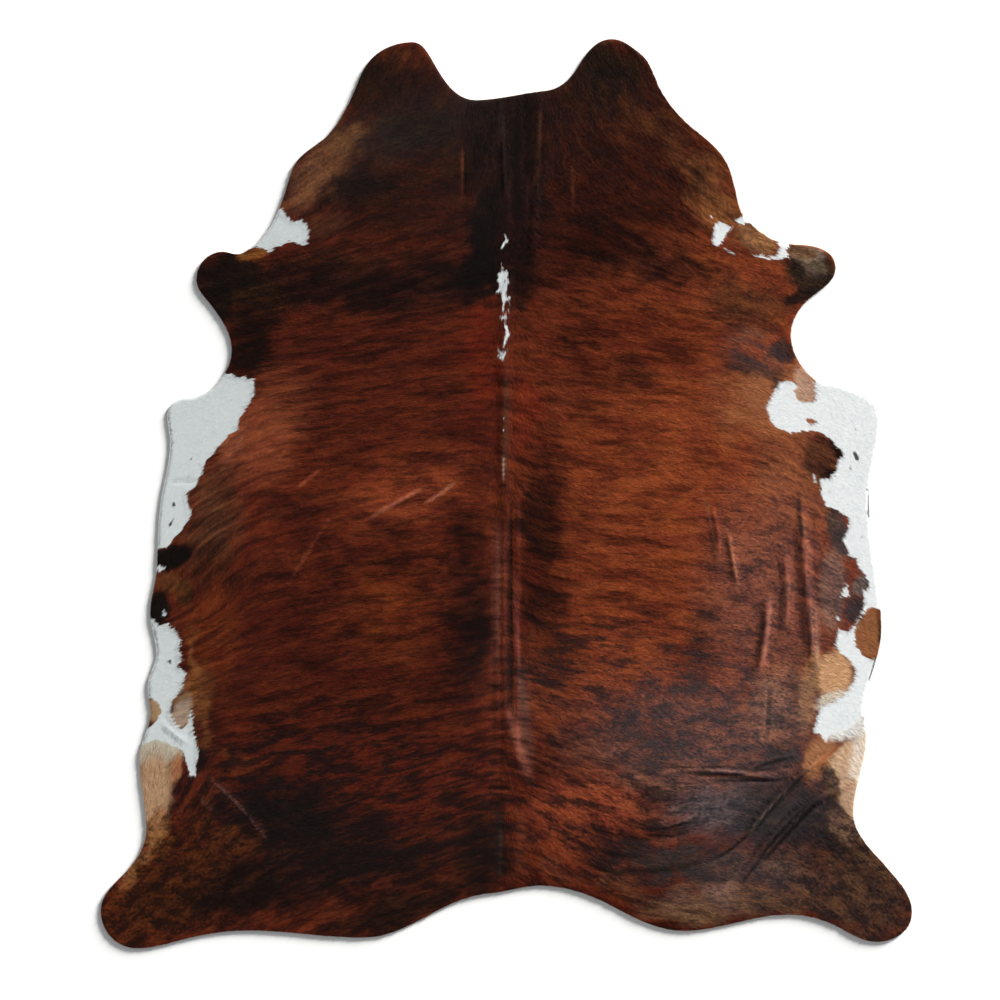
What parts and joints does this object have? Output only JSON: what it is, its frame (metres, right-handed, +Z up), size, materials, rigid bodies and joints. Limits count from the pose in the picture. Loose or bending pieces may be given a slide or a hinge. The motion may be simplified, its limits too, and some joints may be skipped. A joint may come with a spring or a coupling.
{
  "type": "cowhide rug",
  "caption": "Whole brindle cowhide with white flank patches, laid flat as a floor rug with its hair side up.",
  "frame": {"origin": "on the floor, under the middle of the rug's outline", "axes": "+Y from the rump to the neck, +X to the right as seen from above with the neck away, +Z up through the hair"},
  "size_m": [1.9, 2.13, 0.011],
  "materials": {
    "brindle_coat": "short glossy hair on tanned leather"
  },
  "bodies": {
    "root": {"hide": "brindle_coat"}
  },
  "joints": []
}
